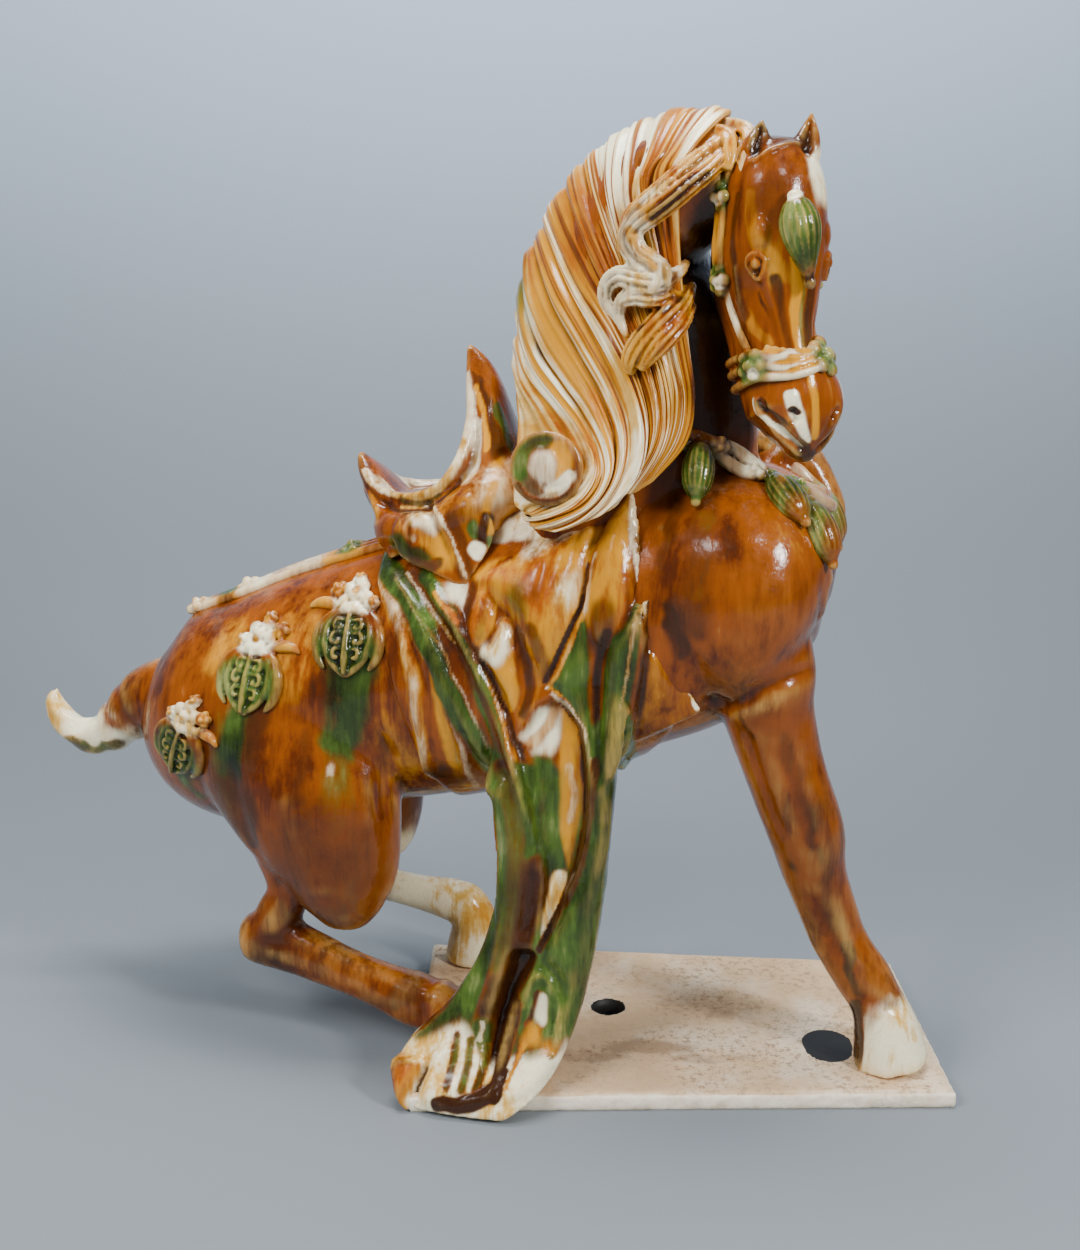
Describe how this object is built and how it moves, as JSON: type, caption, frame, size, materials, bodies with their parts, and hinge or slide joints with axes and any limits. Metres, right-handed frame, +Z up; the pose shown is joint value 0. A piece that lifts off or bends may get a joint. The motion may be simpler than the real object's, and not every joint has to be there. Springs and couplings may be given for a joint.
{
  "type": "pottery tomb horse",
  "caption": "Glazed pottery tomb horse sitting back on its hocks, head turned and one foreleg raised, with saddle, harness and a long drape, on a hand-cut slab.",
  "frame": {"origin": "middle of the slab's underside", "axes": "+X along the slab towards the planted forefoot, +Z up; the horse is turned 14 degrees clockwise from +X, seen from above"},
  "size_m": [0.6239, 0.2693, 0.6081],
  "materials": {
    "bare_clay": "matt, unglazed, dusty",
    "glaze": "amber, cream and green running lead glaze, glossy, finely crackled"
  },
  "bodies": {
    "root": {"plinth": "bare_clay", "horse": "glaze"}
  },
  "joints": []
}
